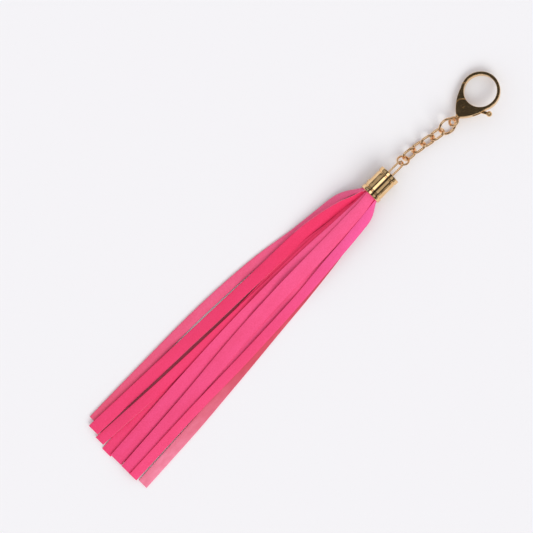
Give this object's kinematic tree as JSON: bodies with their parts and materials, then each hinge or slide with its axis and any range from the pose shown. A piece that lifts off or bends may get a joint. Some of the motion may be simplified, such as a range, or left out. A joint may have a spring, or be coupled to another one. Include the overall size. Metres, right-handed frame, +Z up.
{
  "type": "tassel keychain",
  "caption": "Tassel keychain: lobster clasp with swivel, short cable chain, round metal cap and a long fringe of flat leather strips.",
  "frame": {"origin": "centre of the bounding box's base: the object lies on its back on the plane Z = 0", "axes": "+Y along the object towards the clasp's nose, +Z up from the surface it lies on, +X to the right seen from above"},
  "size_m": [0.054, 0.3137, 0.0137],
  "materials": {
    "gold": "polished light gold plating on zinc and steel wire",
    "steel": "plain",
    "leather": "smooth matt dyed leather, hot pink",
    "leather_back": "suede back, paler pink"
  },
  "bodies": {
    "clasp": {"clasp_body": "gold", "gate_pin": "gold", "gate_spring": "steel"},
    "gate": {"gate_lever": "gold"},
    "swivel": {"swivel_eye": "gold"},
    "large_ring": {"large_ring": "gold"},
    "link_1": {"chain_link_1": "gold"},
    "link_2": {"chain_link_2": "gold"},
    "link_3": {"chain_link_3": "gold"},
    "link_4": {"chain_link_4": "gold"},
    "small_ring": {"small_ring": "gold"},
    "cap": {"cap_shell": "gold", "cap_loop": "gold", "loop_washer": "steel", "cap_screw": "gold", "leather_roll": "leather_back"},
    "left_strip": {"strip_01": "leather"},
    "upper_left_strip": {"strip_02": "leather"},
    "top_strips": {"strip_06": "leather", "strip_08": "leather", "strip_09": "leather", "strip_11": "leather"},
    "bottom_strips": {"strip_03": "leather", "strip_04": "leather", "strip_05": "leather", "strip_07": "leather", "strip_10": "leather"},
    "right_strip": {"strip_12": "leather"}
  },
  "joints": [
    {"name": "gate_hinge", "type": "hinge", "parent": "clasp", "child": "gate", "pos_m": [0.00067, 0.13154, 0.00451], "axis": [0.2753, 0.0144, -0.9613], "range_deg": [0, 20], "stiffness_Nm_per_rad": 0.02, "springref_deg": -17.19, "deforming": ["gate_spring"]},
    {"name": "clasp_swivel", "type": "hinge", "parent": "clasp", "child": "swivel", "pos_m": [0.00263, 0.12163, 0.00493], "axis": [-0.0523, 0.9986, 0], "continuous": true},
    {"name": "large_ring_swing", "type": "hinge", "parent": "swivel", "child": "large_ring", "pos_m": [0.00259, 0.12243, 0.00493], "axis": [0.7076, -0.0248, -0.7061], "range_deg": [-60, 60]},
    {"name": "link_1_swing", "type": "hinge", "parent": "large_ring", "child": "link_1", "pos_m": [0.00168, 0.11209, 0.00438], "axis": [0.71, -0.0376, -0.7032], "range_deg": [-60, 60]},
    {"name": "link_2_swing", "type": "hinge", "parent": "link_1", "child": "link_2", "pos_m": [0.00054, 0.10562, 0.0036], "axis": [0.6871, -0.1712, 0.7061], "range_deg": [-60, 60]},
    {"name": "link_3_swing", "type": "hinge", "parent": "link_2", "child": "link_3", "pos_m": [-0.00078, 0.09916, 0.00335], "axis": [-0.6985, 0.1106, 0.707], "range_deg": [-60, 60]},
    {"name": "link_4_swing", "type": "hinge", "parent": "link_3", "child": "link_4", "pos_m": [-0.0019, 0.09265, 0.00329], "axis": [-0.7084, 0.0249, -0.7054], "range_deg": [-60, 60]},
    {"name": "small_ring_swing", "type": "hinge", "parent": "link_4", "child": "small_ring", "pos_m": [-0.00247, 0.08609, 0.00391], "axis": [-0.4242, 0.492, 0.7602], "range_deg": [-35, 24]},
    {"name": "cap_swing", "type": "hinge", "parent": "small_ring", "child": "cap", "pos_m": [-0.00164, 0.08224, 0.00729], "axis": [0.7071, 0, 0.7071], "range_deg": [-40, 30]},
    {"name": "left_strip_swing", "type": "hinge", "parent": "cap", "child": "left_strip", "pos_m": [-0.00694, 0.05666, 0.00485], "axis": [0, 0, -1], "range_deg": [0, 18]},
    {"name": "upper_left_strip_lift", "type": "hinge", "parent": "cap", "child": "upper_left_strip", "pos_m": [-0.00174, 0.05666, 0.00775], "axis": [-1, 0, 0], "range_deg": [0, 35]},
    {"name": "top_strips_lift", "type": "hinge", "parent": "cap", "child": "top_strips", "pos_m": [-0.00174, 0.05666, 0.01175], "axis": [-1, 0, 0], "range_deg": [0, 35]},
    {"name": "bottom_strips_drop", "type": "hinge", "parent": "cap", "child": "bottom_strips", "pos_m": [-0.00174, 0.05666, 0.00195], "axis": [1, 0, 0], "range_deg": [0, 25]},
    {"name": "right_strip_swing", "type": "hinge", "parent": "cap", "child": "right_strip", "pos_m": [0.00176, 0.05666, 0.00285], "axis": [0, 0, 1], "range_deg": [0, 18]}
  ]
}
